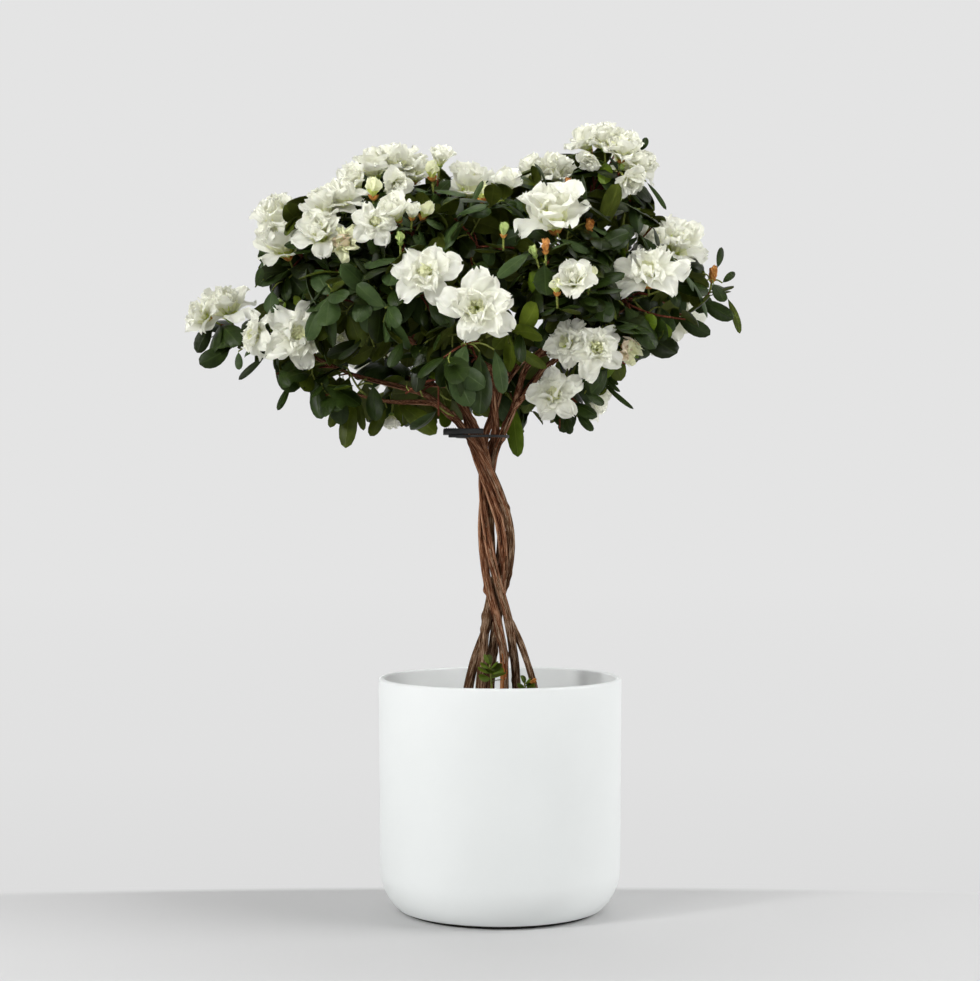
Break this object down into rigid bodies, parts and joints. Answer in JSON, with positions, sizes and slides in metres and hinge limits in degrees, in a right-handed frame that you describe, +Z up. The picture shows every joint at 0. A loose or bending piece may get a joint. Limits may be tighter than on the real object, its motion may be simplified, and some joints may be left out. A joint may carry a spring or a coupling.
{
  "type": "potted standard azalea",
  "caption": "Azalea shrub grown as a small standard on twisted stems, with a wide crown of leaf whorls and white double flowers, in a round-cornered ceramic pot.",
  "frame": {"origin": "centre of the pot's flat underside", "axes": "+Z up along the pot's axis and the plant's height, -Y towards the front, +X to the right seen from the front"},
  "size_m": [0.4818, 0.3676, 0.6437],
  "materials": {
    "pot_ceramic": "matt white",
    "potting_soil": "damp peat compost, crumbly",
    "azalea_stem": "thin fibrous bark",
    "clip_plastic": "moulded black plastic",
    "young_shoot": "soft young leaf",
    "azalea_crown": "satin leaves with thin white petals"
  },
  "bodies": {
    "root": {"pot": "pot_ceramic", "soil": "potting_soil", "stem_left_outer": "azalea_stem", "stem_left_front": "azalea_stem", "stem_left_back": "azalea_stem", "stem_right_front": "azalea_stem", "stem_right_back": "azalea_stem", "stem_right_outer": "azalea_stem", "stem_clip": "clip_plastic", "basal_shoot_left": "young_shoot", "basal_shoot_right": "young_shoot", "bough_long_left": "azalea_stem", "bough_low_left": "azalea_stem", "bough_upper_left": "azalea_stem", "bough_back_left": "azalea_stem", "bough_top_left": "azalea_stem", "bough_low_back_left": "azalea_stem", "bough_back": "azalea_stem", "bough_low_front": "azalea_stem", "bough_front": "azalea_stem", "bough_upper_front": "azalea_stem", "bough_top": "azalea_stem", "bough_top_right": "azalea_stem", "bough_back_right": "azalea_stem", "bough_low_right": "azalea_stem", "bough_front_right": "azalea_stem", "bough_right": "azalea_stem", "mass_left_spray": "azalea_crown", "mass_left_low": "azalea_crown", "mass_left_under": "azalea_crown", "mass_left_high": "azalea_crown", "mass_front_left_high": "azalea_crown", "mass_back_left": "azalea_crown", "mass_back_left_high": "azalea_crown", "mass_top_left": "azalea_crown", "mass_top_mid": "azalea_crown", "mass_back_left_low": "azalea_crown", "mass_back_mid": "azalea_crown", "mass_back_low": "azalea_crown", "mass_front_low": "azalea_crown", "mass_front_left_low": "azalea_crown", "mass_front_mid": "azalea_crown", "mass_front_left_mid": "azalea_crown", "mass_front_top_left": "azalea_crown", "mass_front_centre_high": "azalea_crown", "mass_top_mid_right": "azalea_crown", "mass_back_high": "azalea_crown", "mass_top_right_back": "azalea_crown", "mass_top_right_peak": "azalea_crown", "mass_back_right": "azalea_crown", "mass_back_right_side": "azalea_crown", "mass_low_right": "azalea_crown", "mass_front_right_low": "azalea_crown", "mass_right_front": "azalea_crown", "mass_front_right_mid": "azalea_crown", "mass_front_right_high": "azalea_crown", "mass_right_high": "azalea_crown", "mass_right_spray": "azalea_crown", "mass_right_shoulder": "azalea_crown"}
  },
  "joints": []
}
